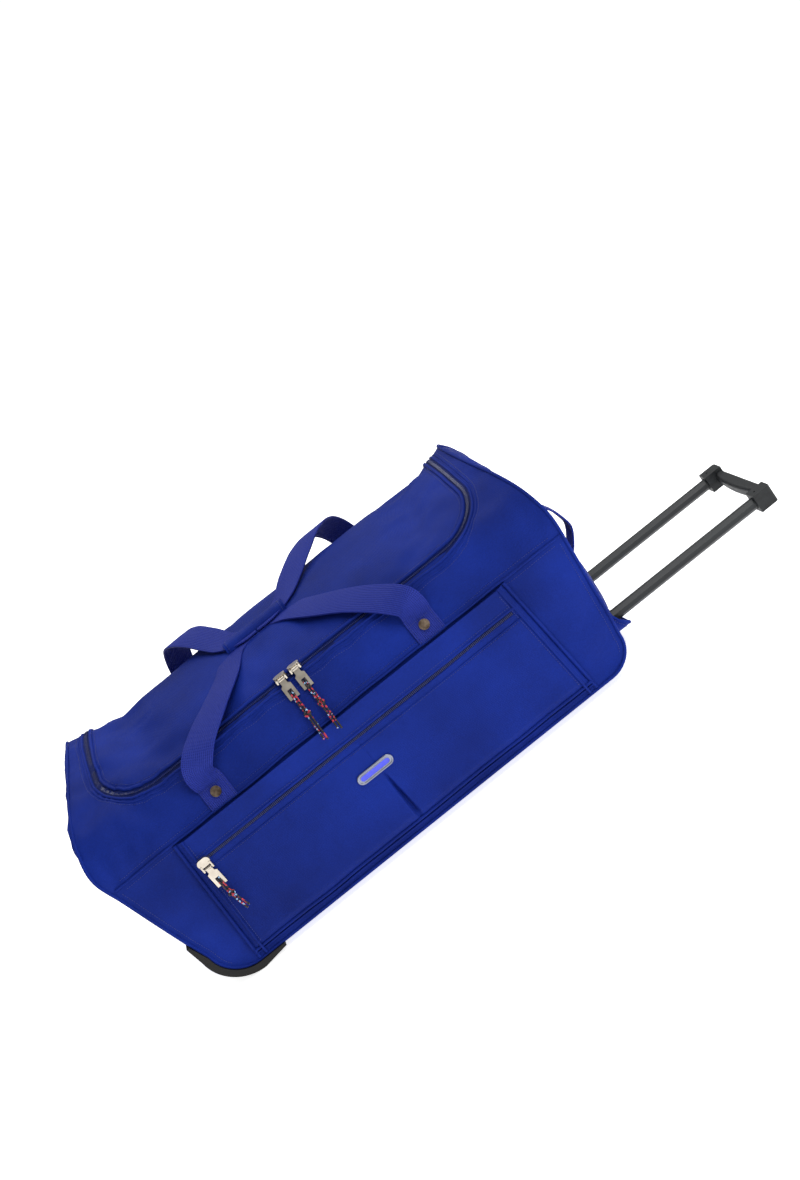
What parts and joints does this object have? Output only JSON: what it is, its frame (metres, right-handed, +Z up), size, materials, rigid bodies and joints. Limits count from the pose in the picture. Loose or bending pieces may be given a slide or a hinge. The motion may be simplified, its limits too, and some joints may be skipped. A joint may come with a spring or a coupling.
{
  "type": "rolling duffel bag",
  "caption": "Soft wheeled duffel with a U-shaped zipped lid, a zipped front pocket, joined carry handles, corner wheels and a pull-out trolley handle.",
  "frame": {"origin": "on the floor, at the middle of the footprint of the bag with its handle pulled out", "axes": "+X from the wheels to the pull-out handle, -Y towards the front pocket, +Z up"},
  "size_m": [0.944, 0.3511, 0.3364],
  "materials": {
    "fabric": "matte",
    "piping": "satin",
    "zip_tape": "matte",
    "webbing": "satin",
    "board": "matte",
    "nickel": "satin",
    "antique_brass": "satin",
    "black_plastic": "satin",
    "grey_plastic": "satin",
    "tube_paint": "satin",
    "steel": "satin",
    "wheel_rubber": "matte",
    "wheel_core": "satin",
    "cord": "matte"
  },
  "bodies": {
    "bag": {"front_panel": "fabric", "back_panel": "fabric", "base_panel": "fabric", "end_panel_wheel": "fabric", "end_panel_handle": "fabric", "upper_front_panel": "fabric", "roof_back_panel": "fabric", "shoulder_wheel": "fabric", "shoulder_handle": "fabric", "lid_panel": "fabric", "pocket_panel": "fabric", "handle_wrap": "fabric", "trolley_lip": "fabric", "piping_front": "piping", "piping_back": "piping", "pocket_piping": "piping", "main_zip": "zip_tape", "pocket_zip": "zip_tape", "carry_handle_front": "webbing", "carry_handle_rear": "webbing", "grab_handle": "webbing", "base_board": "board", "badge": "nickel", "rivet_front_1": "antique_brass", "rivet_front_2": "antique_brass", "rivet_rear_1": "antique_brass", "rivet_rear_2": "antique_brass", "wheel_housing_front": "black_plastic", "wheel_housing_rear": "black_plastic", "guide_bezel": "black_plastic", "guide_bracket": "black_plastic", "foot_front": "black_plastic", "foot_rear": "black_plastic", "guide_tube_front": "tube_paint", "guide_tube_rear": "tube_paint", "axle_front": "steel", "axle_rear": "steel"},
    "trolley": {"trolley_grip": "grey_plastic", "trolley_tube_front": "tube_paint", "trolley_tube_rear": "tube_paint", "tube_plug_front": "black_plastic", "tube_plug_rear": "black_plastic", "grip_pin_front": "steel", "grip_pin_rear": "steel"},
    "wheel_front": {"tyre_front": "wheel_rubber", "hub_front": "wheel_core"},
    "wheel_rear": {"tyre_rear": "wheel_rubber", "hub_rear": "wheel_core"},
    "zip_slider_left": {"slider_left": "nickel"},
    "zip_slider_right": {"slider_right": "nickel"},
    "zip_slider_pocket": {"slider_pocket": "nickel"},
    "pull_left": {"tab_left": "nickel", "pull_cord_left_a": "cord", "pull_cord_left_b": "cord"},
    "pull_right": {"tab_right": "nickel", "pull_cord_right_a": "cord", "pull_cord_right_b": "cord"},
    "pull_pocket": {"tab_pocket": "nickel", "pull_cord_pocket_a": "cord", "pull_cord_pocket_b": "cord"}
  },
  "joints": [
    {"name": "trolley_slide", "type": "slide", "parent": "bag", "child": "trolley", "axis": [1, 0, 0], "range_m": [-0.226, 0]},
    {"name": "wheel_front_spin", "type": "hinge", "parent": "bag", "child": "wheel_front", "pos_m": [-0.419, -0.122, 0.031], "axis": [0, 1, 0], "continuous": true},
    {"name": "wheel_rear_spin", "type": "hinge", "parent": "bag", "child": "wheel_rear", "pos_m": [-0.419, 0.122, 0.031], "axis": [0, 1, 0], "continuous": true},
    {"name": "main_zip_left", "type": "slide", "parent": "bag", "child": "zip_slider_left", "axis": [-1, 0, 0], "range_m": [0, 0.1]},
    {"name": "main_zip_right", "type": "slide", "parent": "bag", "child": "zip_slider_right", "axis": [1, 0, 0], "range_m": [0, 0.1]},
    {"name": "pocket_zip_slide", "type": "slide", "parent": "bag", "child": "zip_slider_pocket", "axis": [1, 0, 0], "range_m": [0, 0.47]},
    {"name": "pull_left_swing", "type": "hinge", "parent": "zip_slider_left", "child": "pull_left", "pos_m": [-0.1565, -0.127, 0.26801], "axis": [-1, 0, 0], "range_deg": [0, 110]},
    {"name": "pull_right_swing", "type": "hinge", "parent": "zip_slider_right", "child": "pull_right", "pos_m": [-0.1355, -0.127, 0.26801], "axis": [-1, 0, 0], "range_deg": [0, 110]},
    {"name": "pull_pocket_swing", "type": "hinge", "parent": "zip_slider_pocket", "child": "pull_pocket", "pos_m": [-0.365, -0.17, 0.155], "axis": [-1, 0, 0], "range_deg": [0, 110]}
  ]
}
